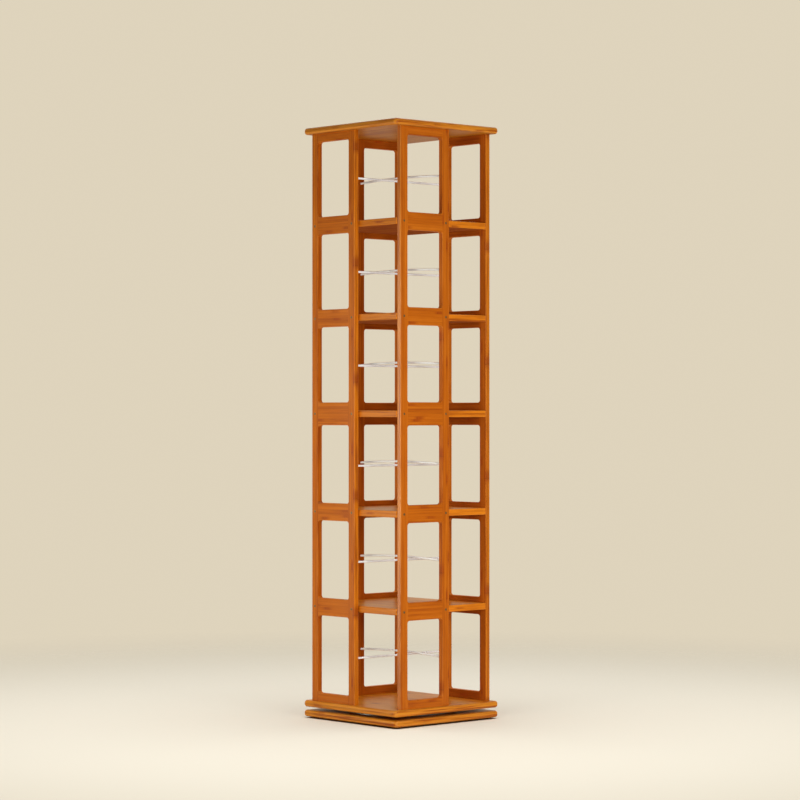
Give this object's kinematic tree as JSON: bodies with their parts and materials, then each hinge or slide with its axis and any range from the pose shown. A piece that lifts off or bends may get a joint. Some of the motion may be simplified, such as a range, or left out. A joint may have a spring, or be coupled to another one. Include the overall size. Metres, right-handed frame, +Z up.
{
  "type": "revolving bookcase",
  "caption": "Tall square revolving bookcase in amber-stained bamboo: ladder frames stand in a pinwheel round open shelves parted by white rods, on a ball-bearing base.",
  "frame": {"origin": "on the floor under the middle of the base plate, on the axis of rotation", "axes": "+Z up along the axis of rotation; -Y is the side with frame 1, +X the side with frame 2"},
  "size_m": [0.4, 0.4, 1.7],
  "materials": {
    "bamboo": "laminated bamboo strips, amber stain under satin lacquer",
    "white_rod": "off-white gloss coating on steel rod",
    "dark_screw": "dark bronzed steel, flat head with hex socket",
    "zinc_steel": "zinc-plated pressed steel",
    "ball_steel": "polished steel balls",
    "foot_rubber": "matt black rubber"
  },
  "bodies": {
    "base": {"base_plate": "bamboo", "base_feet": "foot_rubber", "foot_screws": "zinc_steel", "bearing_lower_ring": "zinc_steel", "bearing_lower_screws": "zinc_steel"},
    "ball_set": {"ball_cage": "zinc_steel", "bearing_balls": "ball_steel"},
    "turntable": {"turntable_plate": "bamboo", "top_plate": "bamboo", "shelf_1": "bamboo", "shelf_2": "bamboo", "shelf_3": "bamboo", "shelf_4": "bamboo", "shelf_5": "bamboo", "frame_1_corner_stile": "bamboo", "frame_1_inner_stile": "bamboo", "frame_2_corner_stile": "bamboo", "frame_2_inner_stile": "bamboo", "frame_3_corner_stile": "bamboo", "frame_3_inner_stile": "bamboo", "frame_4_corner_stile": "bamboo", "frame_4_inner_stile": "bamboo", "frame_1_rail_1": "bamboo", "frame_1_rail_2": "bamboo", "frame_1_rail_3": "bamboo", "frame_1_rail_4": "bamboo", "frame_1_rail_5": "bamboo", "frame_1_rail_6": "bamboo", "frame_1_rail_7": "bamboo", "frame_2_rail_1": "bamboo", "frame_2_rail_2": "bamboo", "frame_2_rail_3": "bamboo", "frame_2_rail_4": "bamboo", "frame_2_rail_5": "bamboo", "frame_2_rail_6": "bamboo", "frame_2_rail_7": "bamboo", "frame_3_rail_1": "bamboo", "frame_3_rail_2": "bamboo", "frame_3_rail_3": "bamboo", "frame_3_rail_4": "bamboo", "frame_3_rail_5": "bamboo", "frame_3_rail_6": "bamboo", "frame_3_rail_7": "bamboo", "frame_4_rail_1": "bamboo", "frame_4_rail_2": "bamboo", "frame_4_rail_3": "bamboo", "frame_4_rail_4": "bamboo", "frame_4_rail_5": "bamboo", "frame_4_rail_6": "bamboo", "frame_4_rail_7": "bamboo", "front_to_back_rods": "white_rod", "side_to_side_rods": "white_rod", "frame_screws": "dark_screw", "top_plate_screws": "dark_screw", "turntable_screws": "dark_screw", "bearing_upper_ring": "zinc_steel", "bearing_upper_screws": "zinc_steel"}
  },
  "joints": [
    {"name": "turntable_spin", "type": "hinge", "parent": "base", "child": "turntable", "pos_m": [0, 0, 0.0275], "axis": [0, 0, 1], "continuous": true},
    {"name": "cage_spin", "type": "hinge", "parent": "base", "child": "ball_set", "pos_m": [0, 0, 0.0275], "axis": [0, 0, 1], "continuous": true}
  ],
  "couplings": [
    {"joint": "cage_spin", "follows": "turntable_spin", "ratio": 0.5}
  ]
}
